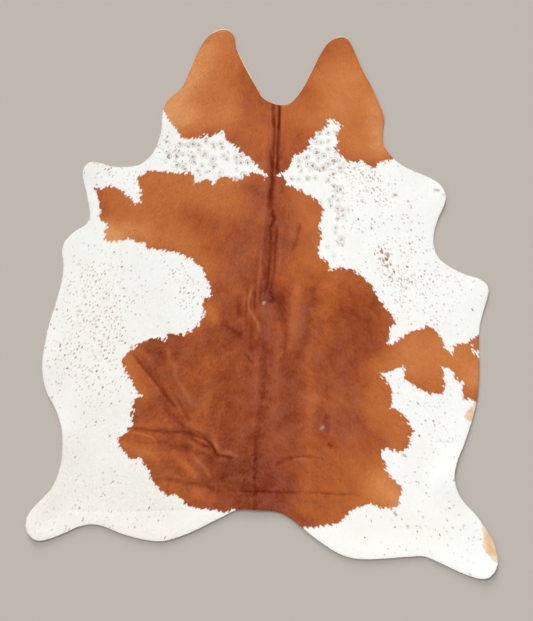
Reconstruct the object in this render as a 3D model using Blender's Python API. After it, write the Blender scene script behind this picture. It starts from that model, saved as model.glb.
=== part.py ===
"""Cowhide rug: one whole hair-on hide that lies flat on a floor, as a single uneven sheet.

Frame: the origin is on the floor below the middle of the hide's bounding box. +Y points from
the tail to the neck, +X to the right of the hide seen from above with its neck up, +Z up.
The tables are in millimetres, and everything that is built from them is in metres.
"""

import math
from collections import namedtuple

import bpy
import numpy as np
from mathutils import Vector
from mathutils.geometry import delaunay_2d_cdt

MM = 0.001

# ---- driving sizes, metres -------------------------------------------------------------------

HIDE_WIDTH = 1.884          # across the two hind legs
HIDE_LENGTH = 2.196         # from the tip of the neck to the lower hind leg

BACK_THICKNESS = 0.0046     # leather and the hair that lies on it, along the back
RIM_THICKNESS = 0.0030      # the same at the thin skin of belly, legs and neck
THINNING_REACH = 0.260      # the skin goes on thickening this far in from its cut edge

EDGE_ROUND_TOP = 0.0022     # the upper face stops this far inside the outline
EDGE_ROUND_BOTTOM = 0.0010  # the lower face stops this far inside the outline
EDGE_WIDEST = 0.45          # height of the outline on the edge, as a share of the thickness

# ---- spacing of the mesh's points, metres ----------------------------------------------------

EDGE_STEP = 0.018           # along the cut edge
EDGE_CLEAR = 0.010          # nearest that an inner point comes to the cut edge
FOLD_STEP = 0.026           # along a fold
CREASE_STEP = 0.024         # along a crease
FIELD_STEP = 0.062          # over the flat field
FINE_GAP = 0.0042           # nearest that two points of folds or creases come to each other
FIELD_GAP = 0.026           # nearest that a field point comes to any other
FOLD_ROWS = (0.0, -1.0, 1.0, -0.5, 0.5)     # across a fold, in half widths
CREASE_ROWS = (0.0, -1.0, 1.0)              # across a crease, in half widths
CURVE_SUBSTEPS = 12         # straight pieces between two control points before resampling

HIDE_COLOUR = (0.36, 0.115, 0.038, 1.0)
HIDE_ROUGHNESS = 0.62
HIDE_METALLIC = 0.0

# ---- the outline, clockwise from the notch of the neck ---------------------------------------

Stretch = namedtuple("Stretch", "name points")      # points: (x_mm, y_mm)

OUTLINE = (
    Stretch("neck notch", (
        (-19, 864), (1, 828), (25, 808), (69, 793), (113, 799), (157, 848))),
    Stretch("right neck lobe", (
        (197, 920), (237, 1000), (273, 1047), (317, 1064), (351, 1045), (401, 936),
        (453, 836), (487, 744), (481, 680), (487, 632), (513, 594))),
    Stretch("right shoulder", (
        (569, 548), (677, 500), (721, 464), (733, 412), (699, 328), (685, 252), (709, 180))),
    Stretch("right foreleg", (
        (799, 123), (873, 98), (905, 58), (886, -22))),
    Stretch("right flank", (
        (867, -108), (867, -264), (857, -390), (817, -532), (777, -636))),
    Stretch("right hind leg", (
        (769, -704), (797, -776), (866, -854), (921, -940), (941, -1024), (921, -1078),
        (881, -1095), (801, -1072), (665, -1010), (617, -1005),
        (413, -1017), (313, -996), (213, -932))),
    Stretch("tail bay", (
        (121, -858), (61, -828), (-31, -820), (-95, -819), (-171, -854))),
    Stretch("left hind leg", (
        (-293, -913), (-385, -943), (-455, -941), (-550, -918), (-631, -886), (-683, -878),
        (-737, -889), (-815, -923), (-887, -943), (-927, -922), (-941, -876), (-921, -822),
        (-835, -727), (-798, -618), (-797, -504), (-823, -420))),
    Stretch("left flank", (
        (-862, -340), (-876, -252), (-870, -190), (-849, -84), (-818, 16), (-797, 96),
        (-791, 156), (-796, 216), (-781, 256), (-743, 292))),
    Stretch("left foreleg", (
        (-697, 321), (-685, 364), (-699, 440), (-714, 516), (-701, 555), (-667, 567))),
    Stretch("left shoulder", (
        (-595, 548), (-535, 547), (-481, 559), (-431, 608), (-401, 688), (-395, 764))),
    Stretch("left neck lobe", (
        (-375, 812), (-319, 864), (-290, 924), (-247, 1020), (-207, 1072), (-151, 1095),
        (-112, 1070), (-95, 1008))),
)

# ---- relief: rows of folds, creases and lifted stretches of edge -----------------------------

Fold = namedtuple("Fold", "name rise half_width route")      # rise_mm, half_width_mm, (x_mm, y_mm)

FOLDS = (       # the whole sheet rises off the floor in these
    Fold("spine, left ridge", 3.2, 22, (
        (25, 770), (21, 656), (13, 496), (15, 368), (3, 276), (-13, 168), (-21, 84))),
    Fold("spine, right ridge", 2.8, 22, (
        (79, 766), (75, 656), (69, 496), (77, 368), (83, 296), (75, 168), (59, 60))),
    Fold("withers wrinkle", 3.4, 20, (
        (-41, 56), (-59, -4), (-49, -46), (-19, -104), (-15, -160))),
    Fold("back, left of the spine", 2.6, 30, (
        (-21, -190), (-25, -330), (-27, -480))),
    Fold("back, right of the spine", 3.0, 40, (
        (57, -50), (61, -224), (57, -510))),
    Fold("left loin", 2.0, 34, (
        (-78, -210), (-80, -340), (-74, -500))),
    Fold("right ribs, inner fold", 4.0, 46, (
        (139, 84), (145, -30), (141, -170))),
    Fold("right ribs, outer fold", 3.6, 52, (
        (261, 90), (247, 0), (237, -84))),
    Fold("right rump", 3.0, 58, (
        (195, -350), (197, -450), (187, -590))),
    Fold("left flank, upper fold", 4.2, 26, (
        (-387, -156), (-359, -244), (-327, -324), (-279, -400), (-251, -452))),
    Fold("left flank, lower fold", 3.6, 28, (
        (-487, -262), (-431, -336), (-383, -404))),
    Fold("crumpled fold", 4.6, 20, (
        (-487, -484), (-387, -483), (-307, -490), (-227, -516), (-183, -546), (-157, -584),
        (-103, -610))),
    Fold("left buttock, outer fold", 2.8, 30, (
        (-343, -626), (-295, -668), (-247, -712))),
    Fold("left buttock, inner fold", 3.0, 28, (
        (-279, -610), (-235, -660), (-191, -712))),
)

CREASES = (     # only the haired face is pressed in along these; rise_mm is below zero
    Fold("spine groove", -1.2, 8, (
        (53, 780), (48, 656), (41, 496), (46, 368), (47, 300), (34, 168), (21, 76), (9, 4))),
    Fold("spine line over the rump", -0.9, 10, (
        (13, -60), (15, -300), (-8, -440), (-25, -560), (-29, -800))),
    Fold("fold line over the rump", -1.3, 7, (
        (-147, -744), (-7, -748), (153, -752), (305, -760), (457, -772))),
    Fold("dimple over the rump", -1.2, 11, (
        (53, -636), (85, -620), (153, -612), (253, -620))),
    Fold("left flank, upper groove", -1.5, 9, (
        (-487, -204), (-447, -264), (-407, -316), (-367, -376), (-327, -424))),
    Fold("left flank, split groove", -1.2, 7, (
        (-375, -346), (-335, -404), (-299, -458))),
    Fold("below the crumpled fold", -1.4, 8, (
        (-479, -508), (-379, -508), (-287, -524), (-215, -552), (-183, -590), (-115, -628))),
    Fold("right shoulder streak", -1.2, 9, (
        (157, 328), (145, 270), (129, 218))),
    Fold("left loin tick", -1.0, 6, (
        (-79, -184), (-55, -216), (-31, -250))),
    Fold("left hind leg, fold line", -0.7, 6, (
        (-895, -824), (-567, -828), (-247, -824))),
    Fold("right flank, fold line", -0.7, 8, (
        (673, -552), (735, -556), (797, -556))),
)

Lift = namedtuple("Lift", "name rise radius centre")      # rise_mm, radius_mm, (x_mm, y_mm)

EDGE_LIFTS = (      # stretches of the edge that curl a little off the floor
    Lift("left neck tip", 3.0, 120, (-160, 1100)),
    Lift("right neck tip", 3.0, 120, (318, 1066)),
    Lift("right shoulder", 3.6, 140, (740, 420)),
    Lift("right foreleg tip", 3.4, 120, (900, 60)),
    Lift("right hollow", 4.0, 130, (765, -700)),
    Lift("right hind tip", 3.4, 120, (930, -1070)),
    Lift("tail bay", 3.8, 120, (-40, -812)),
    Lift("left hind tip", 3.6, 120, (-925, -910)),
    Lift("left hollow", 3.4, 140, (-800, -540)),
    Lift("left flank", 4.0, 160, (-880, -220)),
    Lift("left foreleg tip", 3.2, 110, (-700, 560)),
    Lift("left shoulder", 3.0, 110, (-400, 720)),
)

FOLD_END = 0.22     # share of a fold's length over which its ends fade away


# ---- plane geometry --------------------------------------------------------------------------

def spline(points, closed):
    """Dense points on a smooth curve through the control points (Catmull-Rom)."""
    pts = np.asarray(points, dtype=float)
    if closed:
        pts = np.vstack((pts[-1:], pts, pts[:2]))
    else:
        pts = np.vstack((2 * pts[0] - pts[1], pts, 2 * pts[-1] - pts[-2]))
    t = np.linspace(0.0, 1.0, CURVE_SUBSTEPS, endpoint=False)[:, None]
    runs = []
    for before, start, end, after in zip(pts, pts[1:], pts[2:], pts[3:]):
        runs.append(0.5 * (2 * start + (end - before) * t
                           + (2 * before - 5 * start + 4 * end - after) * t ** 2
                           + (3 * start - before - 3 * end + after) * t ** 3))
    if not closed:
        runs.append(pts[-2:-1])
    return np.vstack(runs)


def resample(curve, step, closed):
    """Evenly spaced points along a dense curve."""
    if closed:
        curve = np.vstack((curve, curve[:1]))
    along = np.concatenate(([0.0], np.cumsum(np.linalg.norm(np.diff(curve, axis=0), axis=1))))
    count = max(2, round(along[-1] / step))
    stations = np.linspace(0.0, along[-1], count + 1)
    if closed:
        stations = stations[:-1]
    return np.column_stack([np.interp(stations, along, curve[:, i]) for i in (0, 1)])


def distance_to_path(points, path):
    """Distance from each point to a path of straight pieces, and how far along it, 0 to 1."""
    start, step = path[:-1], np.diff(path, axis=0)
    length = np.linalg.norm(step, axis=1)
    before = np.concatenate(([0.0], np.cumsum(length)))
    best = np.full(len(points), np.inf)
    share = np.zeros(len(points))
    for a, d, size, passed in zip(start, step, length, before):
        t = np.clip((points - a) @ d / size ** 2, 0.0, 1.0)
        away = np.linalg.norm(points - a - t[:, None] * d, axis=1)
        nearer = away < best
        best[nearer] = away[nearer]
        share[nearer] = ((passed + t * size) / before[-1])[nearer]
    return best, share


def inside(points, ring):
    """Which points lie inside a closed ring (even-odd rule)."""
    x, y = points[:, 0], points[:, 1]
    result = np.zeros(len(points), dtype=bool)
    for (x0, y0), (x1, y1) in zip(ring, np.roll(ring, -1, axis=0)):
        crosses = (y0 > y) != (y1 > y)
        if crosses.any():
            result ^= crosses & (x < x0 + (y - y0) * (x1 - x0) / (y1 - y0))
    return result


def smooth_step(value):
    value = np.clip(value, 0.0, 1.0)
    return value * value * (3.0 - 2.0 * value)


def bump(distance, reach):
    """A rounded bump, 1 at distance 0 and exactly 0 from the reach outwards."""
    return np.where(distance < reach, 0.5 + 0.5 * np.cos(np.pi * distance / reach), 0.0)


# ---- the hide's form -------------------------------------------------------------------------

def outline_ring():
    """The cut edge as evenly spaced points, centred and scaled to the hide's real size."""
    points = [point for stretch in OUTLINE for point in stretch.points]
    ring = resample(spline(points, closed=True) * MM, EDGE_STEP, closed=True)
    low, high = ring.min(axis=0), ring.max(axis=0)
    return (ring - (low + high) / 2) * (np.array((HIDE_WIDTH, HIDE_LENGTH)) / (high - low))


def relief(points, rows):
    """Summed height of the rows of folds or creases at each point."""
    height = np.zeros(len(points))
    for row in rows:
        away, share = distance_to_path(points, spline(row.route, closed=False) * MM)
        fade = smooth_step(share / FOLD_END) * smooth_step((1 - share) / FOLD_END)
        height += row.rise * MM * bump(away, row.half_width * MM) * fade
    return height


def lift(points):
    """How far the sheet's lower face is off the floor."""
    height = relief(points, FOLDS)
    for row in EDGE_LIFTS:
        away = np.linalg.norm(points - np.array(row.centre) * MM, axis=1)
        height = np.maximum(height, row.rise * MM * bump(away, row.radius * MM))
    return height


def thickness(points, ring):
    """Leather and hair: full along the back, thinner near the cut edge and in the creases."""
    to_edge, _ = distance_to_path(points, np.vstack((ring, ring[:1])))
    body = RIM_THICKNESS + (BACK_THICKNESS - RIM_THICKNESS) * smooth_step(to_edge / THINNING_REACH)
    return body + relief(points, CREASES)


# ---- the points of the mesh ------------------------------------------------------------------

def rows_along(row, step, offsets):
    """Points along a fold's route and on lines beside it."""
    path = resample(spline(row.route, closed=False) * MM, step, closed=False)
    direction = np.gradient(path, axis=0)
    side = np.column_stack((-direction[:, 1], direction[:, 0]))
    side /= np.linalg.norm(side, axis=1)[:, None]
    return np.vstack([path + side * offset * row.half_width * MM for offset in offsets])


def field_points():
    """A plain triangular grid over the whole box."""
    row_step = FIELD_STEP * math.sqrt(3) / 2
    xs = np.arange(-HIDE_WIDTH / 2, HIDE_WIDTH / 2, FIELD_STEP)
    ys = np.arange(-HIDE_LENGTH / 2, HIDE_LENGTH / 2, row_step)
    return np.array([(x + (i % 2) * FIELD_STEP / 2, y) for i, y in enumerate(ys) for x in xs])


def inner_points(ring):
    """Points inside the outline: close together at folds and creases, far apart elsewhere."""
    batches = [(rows_along(row, FOLD_STEP, FOLD_ROWS), FINE_GAP) for row in FOLDS]
    batches += [(rows_along(row, CREASE_STEP, CREASE_ROWS), FINE_GAP) for row in CREASES]
    batches.append((field_points(), FIELD_GAP))
    kept = np.empty((0, 2))
    for points, gap in batches:
        points = points[inside(points, ring)]
        to_edge, _ = distance_to_path(points, np.vstack((ring, ring[:1])))
        for point in points[to_edge > max(EDGE_CLEAR, 0.5 * gap)]:
            if not len(kept) or np.linalg.norm(kept - point, axis=1).min() > gap:
                kept = np.vstack((kept, point))
    return kept


def triangulate(ring, inner):
    """Triangles that fill the outline. The ring's points keep their numbers, 0 upwards."""
    count = len(ring)
    points = [Vector(point) for point in np.vstack((ring, inner))]
    edges = [(i, (i + 1) % count) for i in range(count)]
    verts, _, faces, _, _, _ = delaunay_2d_cdt(points, edges, [], 1, 1e-6)
    return np.array([(v.x, v.y) for v in verts]), [tuple(face) for face in faces]


def inset_ring(ring, amount):
    """The ring moved inwards, square to itself."""
    tangent = np.roll(ring, -1, axis=0) - np.roll(ring, 1, axis=0)
    tangent /= np.linalg.norm(tangent, axis=1)[:, None]
    inwards = np.column_stack((tangent[:, 1], -tangent[:, 0]))      # the ring runs clockwise
    return ring + inwards * amount


def hide_mesh():
    """One closed sheet: lower face, rounded cut edge and upper face."""
    ring = outline_ring()
    flat, faces = triangulate(ring, inner_points(ring))
    count, total = len(ring), len(flat)
    floor_gap, depth = lift(flat), thickness(flat, ring)

    lower, upper = flat.copy(), flat.copy()
    lower[:count] = inset_ring(ring, EDGE_ROUND_BOTTOM)
    upper[:count] = inset_ring(ring, EDGE_ROUND_TOP)
    edge_height = floor_gap[:count] + EDGE_WIDEST * depth[:count]
    verts = np.vstack((
        np.column_stack((lower, floor_gap)),
        np.column_stack((upper, floor_gap + depth)),
        np.column_stack((ring, edge_height)),
    ))

    polygons = []
    for a, b, c in faces:
        polygons.append((a, c, b))
        polygons.append((a + total, b + total, c + total))
    for i in range(count):
        j = (i + 1) % count
        below, above, edge = (i, j), (i + total, j + total), (i + 2 * total, j + 2 * total)
        polygons += [(below[0], edge[0], below[1]), (below[1], edge[0], edge[1])]
        polygons += [(edge[0], above[0], edge[1]), (edge[1], above[0], above[1])]

    mesh = bpy.data.meshes.new("hide")
    mesh.from_pydata(verts.tolist(), [], polygons)
    mesh.validate()
    mesh.shade_smooth()
    return mesh


def hide_material():
    material = bpy.data.materials.new("haired_hide")
    material.use_nodes = True
    shader = material.node_tree.nodes["Principled BSDF"]
    shader.inputs["Base Color"].default_value = HIDE_COLOUR
    shader.inputs["Roughness"].default_value = HIDE_ROUGHNESS
    shader.inputs["Metallic"].default_value = HIDE_METALLIC
    return material


def clear_scene():
    for obj in list(bpy.data.objects):
        bpy.data.objects.remove(obj)


def build():
    clear_scene()
    mesh = hide_mesh()
    mesh.materials.append(hide_material())
    hide = bpy.data.objects.new("hide", mesh)
    bpy.context.scene.collection.objects.link(hide)


build()
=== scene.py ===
"""Looks of the cowhide rug: leather, hair coat, locks of hair, markings, folds and the studio.

Frame: +Y points to the neck, +X to the right of the hide seen from above, +Z up from the floor.
Lengths in the tables are in millimetres, and so are names that end in _MM; all others are in
metres. A table's row is (amount, half width, route), or (rise, radius, centre) for a lift. A
route is a text of points, "x,y x,y".
"""

import math
from functools import partialmethod

import bpy
import numpy as np
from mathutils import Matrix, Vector
from mathutils.geometry import delaunay_2d_cdt


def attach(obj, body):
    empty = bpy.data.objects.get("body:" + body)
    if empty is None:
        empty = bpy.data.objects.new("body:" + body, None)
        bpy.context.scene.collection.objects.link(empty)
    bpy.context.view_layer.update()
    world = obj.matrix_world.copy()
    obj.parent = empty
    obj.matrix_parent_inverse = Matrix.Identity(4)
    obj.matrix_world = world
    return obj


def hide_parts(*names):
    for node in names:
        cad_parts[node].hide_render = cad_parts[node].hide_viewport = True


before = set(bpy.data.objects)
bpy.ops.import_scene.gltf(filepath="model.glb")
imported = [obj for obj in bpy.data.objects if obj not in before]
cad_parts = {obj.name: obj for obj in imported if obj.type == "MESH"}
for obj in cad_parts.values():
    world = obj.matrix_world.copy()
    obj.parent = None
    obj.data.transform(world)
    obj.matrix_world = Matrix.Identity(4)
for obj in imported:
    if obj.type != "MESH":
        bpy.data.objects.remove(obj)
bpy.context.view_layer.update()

MM = 0.001

# ---- sizes

LEATHER_SHARE = 0.45  # of the thickness; the rest is the lying coat
THINNEST = 0.0024  # leather and coat at the bottom of a crease
BACK_THICKNESS = 0.0046  # leather and coat along the back
RIM_THICKNESS = 0.0030  # leather and coat at the cut edge
THINNING_REACH = 0.260  # the skin goes on thickening this far in from its edge
RIM_CURL = 0.0030  # how far the rim curls off the floor at the hind end
CURL_REACH = 0.110  # the curl begins this far in from the edge
CURL_FROM_Y = 0.10  # and grows from this Y
CURL_FULL_Y = -0.70  # to this one
FOLD_END = 0.22  # share of a fold's length over which its ends fade away
WRINKLE_END = 0.14  # the same for a wrinkle
WRINKLE_RISE = 0.0050  # rise in the coat for each whole tone of a wrinkle
WRINKLE_LIMIT = 0.0007  # and no more than this either way
WRINKLE_TONE = 0.05  # the coat's mesh is finer where wrinkles change the tone by more
CREASE_PAINTED_SHADE = 0.045  # painted shade: change of tone for each millimetre of a crease
FOLD_PAINTED_LIGHT = 0.012  # and painted light for each millimetre of a fold
SHEEN_ON_RIDGES = 1.2  # painted sheen: ridges reflect more, in step with their tone
FEWEST_SPECKS, MOST_SPECKS = 0.03, 3.0  # limits of the share of specks

MAP_MARGIN = 0.030  # the maps reach this far past the hide
MARK_STEP = 0.004  # spacing of the maps of the markings
HEIGHT_STEP = 0.0028  # spacing of the maps of height and wrinkles
SKIN_STEP = 0.0160
LOWER_INSET = 0.0010  # the leather's lower and upper faces end this far inside its edge
UPPER_INSET = 0.0012
COAT_STEP = 0.0066
FINER = 0.62  # share of that spacing at the wrinkles
RING_ROOM = 0.6  # share of it that the inner points keep off the coat's edge
COAT_INSET = 0.0002
HEM_INSET = 0.0006  # the coat's hem turns this much further in
EDGE_DROP = 0.0013  # how far the coat rounds down at the cut edge

SPINE_X = 0.012  # the hair parts along this line
SPLAY = math.radians(44)  # and turns outwards by up to this
SPLAY_REACH = 0.20  # with 63% of it this far from the spine
HIND_Y, HIND_CALM = -0.45, 0.55  # behind this Y it turns less, by up to this share
NECK_Y, NECK_CALM = 0.55, 0.35  # and so in front of this one
CALMING = 0.45  # growing over this distance
FLOW_ANGLE = math.radians(38)  # between the spine and the streaks in the hair's colour

SEED = 7
LOCKS = 365000
LOCK_LENGTH = 0.0105
LENGTH_RANGE = 0.65, 1.2  # shares of it
LOCK_WIDTH = 0.0019
WIDTH_RANGE = 0.6, 1.35
SHORTEST_LOCK = 0.0030
SHORTER = 0.45  # share of its length that a lock loses among the markings
BORDER_REACH = 0.012  # and this near to the brown's border
JITTER = 0.45  # of the roots' spacing
STRAY = math.radians(10)  # standard deviation of a lock's direction
BEND = 0.0010  # and of how far its middle bends to a side
ROLL = 0.20  # and of the slope across it
TIP_BEND = -0.4  # a lock's tip swings back by this share of its bend
MIDDLE_SHARE = 0.52  # a lock is widest this far along it
PIGMENT_SHARE = 0.45  # and takes its colour from the place this far along it
ROOT_MARGIN = 0.0010  # no lock grows nearer to the coat's edge
ROOT_DEPTH = 0.0004  # a root lies this far in the coat
MIDDLE_RISE = 0.0002, 0.0008  # the middle stands above the coat by
TIP_RISE = 0.0001, 0.0007  # and the tip by
OVERHANG = 0.0012  # a lock that reaches further past the cut edge is shortened
DROOP = 0.4  # a tip past the cut edge sinks by this share of its overhang
DROOP_LIMIT = 0.004  # of which no more than this counts

# ---- relief: folds, creases and lifts of the solid, and finer wrinkles

FOLDS = (  # amount is the rise; three of them are softer than in the solid
    (3.2, 22, "25,770 21,656 13,496 15,368 3,276 -13,168 -21,84"),  # spine, left ridge
    (2.8, 22, "79,766 75,656 69,496 77,368 83,296 75,168 59,60"),  # spine, right ridge
    (3.4, 20, "-41,56 -59,-4 -49,-46 -19,-104 -15,-160"),  # withers wrinkle
    (2.6, 30, "-21,-190 -25,-330 -27,-480"),  # back, left of the spine
    (3.0, 40, "57,-50 61,-224 57,-510"),  # back, right of the spine
    (2.0, 34, "-78,-210 -80,-340 -74,-500"),  # left loin
    (4.0, 46, "139,84 145,-30 141,-170"),  # right ribs, inner fold
    (3.6, 52, "261,90 247,0 237,-84"),  # right ribs, outer fold
    (3.0, 58, "195,-350 197,-450 187,-590"),  # right rump
    (3.0, 26, "-387,-156 -359,-244 -327,-324 -279,-400 -251,-452"),  # left flank, upper fold
    (2.6, 28, "-487,-262 -431,-336 -383,-404"),  # left flank, lower fold
    # crumpled fold
    (2.4, 34, "-487,-484 -387,-483 -307,-490 -227,-516 -183,-546 -157,-584 -103,-610"),
    (2.8, 30, "-343,-626 -295,-668 -247,-712"),  # left buttock, outer fold
    (3.0, 28, "-279,-610 -235,-660 -191,-712"),  # left buttock, inner fold
)

CREASES = (  # amount is the depth, below zero; only the coat is pressed in
    (-1.2, 8, "53,780 48,656 41,496 46,368 47,300 34,168 21,76 9,4"),  # spine groove
    (-0.9, 10, "13,-60 15,-300 -8,-440 -25,-560 -29,-800"),  # spine line over the rump
    (-1.3, 7, "-147,-744 -7,-748 153,-752 305,-760 457,-772"),  # fold line over the rump
    (-1.2, 11, "53,-636 85,-620 153,-612 253,-620"),  # dimple over the rump
    (-1.5, 9, "-487,-204 -447,-264 -407,-316 -367,-376 -327,-424"),  # left flank, upper groove
    (-1.2, 7, "-375,-346 -335,-404 -299,-458"),  # left flank, split groove
    # below the crumpled fold
    (-1.4, 8, "-479,-508 -379,-508 -287,-524 -215,-552 -183,-590 -115,-628"),
    (-1.2, 9, "157,328 145,270 129,218"),  # right shoulder streak
    (-1.0, 6, "-79,-184 -55,-216 -31,-250"),  # left loin tick
    (-0.7, 6, "-895,-824 -567,-828 -247,-824"),  # left hind leg, fold line
    (-0.7, 8, "673,-552 735,-556 797,-556"),  # right flank, fold line
)

WRINKLES = (  # amount is the change of tone; finer lines, with painted shade where the coat sinks and painted light where it rises
    # neck
    (-0.24, 13, "46,840 46,800 46,760 48,726 50,705"),
    (-0.62, 9, "71,840 71,790 71,752 69,716 67,690"),
    (0.09, 7, "36,838 36,758 36,688 35,638"),
    (0.05, 7, "84,838 85,758 85,678"),
    (-0.30, 14, "68,728 68,690 67,660 66,636 62,606 65,590 63,560 63,530 60,505"),
    (-0.10, 7, "66,700 64,664 62,640 63,606 62,570 61,530"),
    (-0.22, 8, "52,740 51,700 51,660 50,640 46,622 50,600 46,572 47,550 45,525"),
    (-0.14, 9, "71,618 78,602 79,588 71,570"),
    (0.13, 7, "56,640 55,612 55,580 55,545"),
    (-0.17, 9, "38,626 37,600 37,572 41,545 42,515 43,490"),
    (-0.10, 7, "132,666 148,676 168,682"),
    # shoulders
    (-0.23, 18, "47,518 44,486 41,470 37,454 35,438 34,422 33,390 33,370"),
    (-0.08, 8, "38,468 35,438 33,408"),
    (-0.11, 7, "76,474 82,462 79,448 68,440 63,434"),
    (-0.11, 6, "75,428 71,416"),
    # withers
    (-0.23, 12, "48,382 42,358 50,342 44,326 36,316"),
    (-0.21, 8, "43,328 35,310 34,294 36,274 37,248"),
    (-0.17, 8, "46,328 54,316 60,298 60,288 58,262 56,238 55,214 53,188 52,158 51,132 45,104 40,70 "
               "40,40"),
    (-0.13, 8, "34,278 33,246 34,214 34,182 29,158 29,134 27,110 26,94 27,58"),
    (-0.08, 14, "18,134 16,110 12,90"),
    (-0.06, 10, "-2,318 -8,254 -20,194 -20,134 -32,58"),
    (0.14, 9, "0,228 -4,174 -4,134 -10,98 -14,70 -16,42 -20,6"),
    # the loop at the withers
    (0.16, 9, "-34,84 -42,56 -49,28 -53,-2 -50,-26 -38,-46 -24,-60 -15,-80 -9,-100 -4,-126"),
    (-0.13, 10, "-58,78 -58,38 -60,6 -61,-26 -62,-42 -59,-74 -61,-102"),
    (-0.12, 10, "-30,58 -26,38 -28,14 -28,-10 -26,-30 -30,-42"),
    (-0.09, 12, "-52,-36 -40,-58 -42,-86 -42,-114 -44,-152 -42,-202"),
    # back and loin
    (-0.08, 16, "-89,-110 -75,-126"),
    (-0.07, 16, "-19,-502 -21,-546 -25,-606 -27,-662 -25,-706 -23,-746 -29,-802 -29,-862"),
    (0.08, 6, "-61,-186 -45,-206 -35,-214"),
    (-0.08, 7, "-73,-186 -53,-218 -39,-238 -29,-258"),
    (0.08, 10, "87,-182 71,-208 47,-232"),
    (0.07, 18, "64,-62 65,-112 63,-182"),
    (-0.07, 14, "95,-52 95,-112 93,-172 93,-222"),
    (0.08, 16, "-13,-62 -15,-112 -23,-152"),
    (0.05, 16, "-17,-192 -17,-402"),
    # ribs
    (-0.07, 13, "327,28 319,-12 305,-52 299,-92"),
    (-0.08, 16, "347,-26 387,-52 432,-76"),
    # rump
    (-0.10, 8, "-130,-746 -80,-748 53,-753 153,-758 233,-760 313,-764 380,-770"),
    (-0.10, 14, "52,-642 75,-632 102,-624 127,-618"),
    (-0.05, 7, "92,-624 155,-610 202,-610 252,-614"),
    (-0.20, 12, "262,-558 286,-572"),
    (-0.06, 14, "242,-450 302,-460"),
    (-0.05, 18, "227,-522 267,-534"),
    (-0.07, 12, "531,-482 551,-488 567,-510"),
    # left flank
    (-0.22, 11, "-529,-178 -493,-226 -461,-266 -437,-294 -405,-334 -377,-374 -357,-398 -329,-430"),
    (-0.11, 16, "-345,-450 -325,-472 -301,-502"),
    (0.07, 16, "-497,-174 -461,-206 -445,-232"),
    (0.10, 8, "-357,-374 -333,-410 -313,-450"),
    (-0.11, 9, "-361,-342 -337,-378 -317,-410 -297,-446 -287,-478"),
    (0.10, 14, "-373,-152 -369,-218 -349,-250 -343,-298 -323,-326 -301,-362 -285,-394 -273,-432"),
    (0.06, 17, "-518,-480 -445,-486 -348,-490"),
    # the long fold below the left flank
    (-0.13, 9, "-545,-494 -490,-498 -445,-506 -405,-512 -365,-515 -335,-512 -305,-508 -265,-524 "
               "-225,-546"),
    (-0.05, 16, "-408,-516 -308,-526"),
    (0.20, 6, "-530,-510 -465,-524 -435,-536 -422,-554 -421,-584"),
    (-0.05, 10, "-548,-544 -485,-550 -438,-564"),
    (-0.07, 14, "-313,-576 -245,-596 -188,-622"),
    # the crumple at its end
    (-0.14, 8, "-273,-506 -237,-524 -221,-542 -201,-562 -189,-586 -173,-606 -141,-608 -97,-622"),
    (0.26, 15, "-197,-530 -181,-562 -163,-592 -125,-596 -91,-616"),
    (0.11, 12, "-189,-546 -177,-582"),
    (-0.17, 8, "-289,-530 -261,-550 -233,-566 -197,-574"),
    (0.11, 8, "-268,-532 -241,-542 -217,-558"),
    (0.12, 7, "-301,-546 -257,-572 -209,-594"),
    (0.06, 9, "-293,-490 -245,-504 -213,-522"),
    # left buttock
    (0.10, 14, "-281,-602 -245,-638 -221,-670 -201,-706"),
    (-0.05, 13, "-413,-614 -341,-674 -298,-702"),
    (-0.11, 17, "-413,-696 -345,-706 -285,-718 -225,-730 -173,-740"),
    # left shoulder, left back and right shoulder
    (-0.04, 8, "-118,488 -95,450 -68,428"),
    (-0.06, 16, "-248,234 -213,218"),
    (-0.12, 20, "159,328 151,294 143,262 131,230 119,206"),
)

EDGE_LIFTS = (
    (3.0, 120, "-160,1100"),  # left neck tip
    (3.0, 120, "318,1066"),  # right neck tip
    (3.6, 140, "740,420"),  # right shoulder
    (3.4, 120, "900,60"),  # right foreleg tip
    (4.0, 130, "765,-700"),  # right hollow
    (3.4, 120, "930,-1070"),  # right hind tip
    (3.8, 120, "-40,-812"),  # tail bay
    (3.6, 120, "-925,-910"),  # left hind tip
    (3.4, 140, "-800,-540"),  # left hollow
    (4.0, 160, "-880,-220"),  # left flank
    (3.2, 110, "-700,560"),  # left foreleg tip
    (3.0, 110, "-400,720"),  # left shoulder
)

BARE_EDGES = (  # where the cut leather shows past the coat; the rise is how far
    (4.6, 170, "-55,930"),  # left neck lobe, inner side
    (2.0, 80, "-160,1100"),  # left neck lobe, tip
    (2.4, 90, "-30,860"),  # neck notch, left
    (1.6, 70, "318,1066"),  # right neck lobe, tip
)

# ---- markings, and shade, light and sheen painted into the brown

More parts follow.
